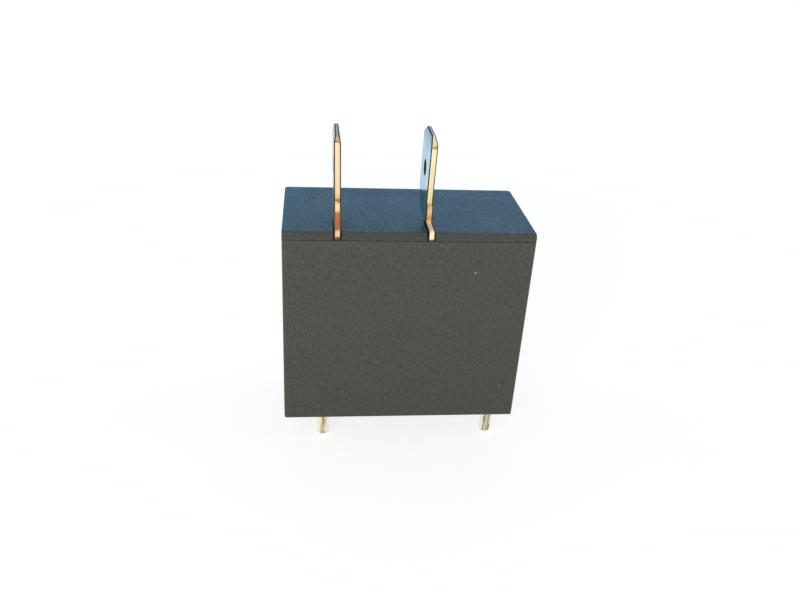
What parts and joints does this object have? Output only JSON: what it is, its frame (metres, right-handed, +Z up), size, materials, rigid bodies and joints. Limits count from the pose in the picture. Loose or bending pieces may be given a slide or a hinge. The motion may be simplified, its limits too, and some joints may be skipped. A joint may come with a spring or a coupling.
{
  "type": "pcb power relay",
  "caption": "Box-shaped power relay: solder pins for the coil below, blade terminals for the load on top; inside, a coil pulls an armature whose card closes the contacts.",
  "frame": {"origin": "centre of the case's footprint on the board's surface", "axes": "+Z up from the board, +X along the long side, -Y towards the face with the blades and pins"},
  "size_m": [0.0306, 0.0156, 0.0416],
  "materials": {
    "case_plastic": "black moulded polyester with a fine spark-eroded matte grain",
    "header_plastic": "black moulded polyester, a little smoother than the case",
    "terminal_brass": "tinned brass sheet with bare sheared edges",
    "contact_silver": "silver alloy contact faces",
    "spring_copper": "rolled copper alloy leaf",
    "card_plastic": "natural moulded plastic",
    "magnet_steel": "plated soft iron",
    "spring_steel": "stainless spring leaf",
    "bobbin_plastic": "black moulded bobbin",
    "winding_wire": "enamelled copper wire",
    "pin_tin": "solder-dipped pin",
    "seal_resin": "potting resin"
  },
  "bodies": {
    "housing": {"case": "case_plastic", "header": "header_plastic", "fixed_terminal": "terminal_brass", "common_terminal": "terminal_brass", "fixed_contact": "contact_silver", "spring_rivets": "spring_copper", "hinge_spring": "spring_steel", "hinge_spring_rivets": "magnet_steel", "yoke": "magnet_steel", "core": "magnet_steel", "bobbin": "bobbin_plastic", "winding": "winding_wire", "coil_pin_left": "pin_tin", "coil_pin_right": "pin_tin", "coil_lead_left": "winding_wire", "coil_lead_right": "winding_wire", "pin_seal_left": "seal_resin", "pin_seal_right": "seal_resin"},
    "armature": {"armature": "magnet_steel"},
    "card": {"card": "card_plastic"},
    "contact_arm": {"moving_spring": "spring_copper", "moving_contact": "contact_silver"}
  },
  "joints": [
    {"name": "armature_swing", "type": "hinge", "parent": "housing", "child": "armature", "pos_m": [-0.01211, 0.0006, 0.0147], "axis": [0, -1, 0], "range_deg": [0, 4], "stiffness_Nm_per_rad": 0.004, "springref_deg": -11.46},
    {"name": "card_slide", "type": "slide", "parent": "housing", "child": "card", "axis": [-1, 0, 0], "range_m": [0, 0.00061]},
    {"name": "contact_flex", "type": "hinge", "parent": "housing", "child": "contact_arm", "pos_m": [-0.00675, 0.0026, 0.0203], "axis": [0, 0, -1], "range_deg": [0, 7.5], "deforming": ["moving_spring"]}
  ],
  "couplings": [
    {"joint": "card_slide", "follows": "armature_swing", "m_per_rad": 0.0087},
    {"joint": "contact_flex", "follows": "armature_swing", "ratio": 1.87}
  ]
}
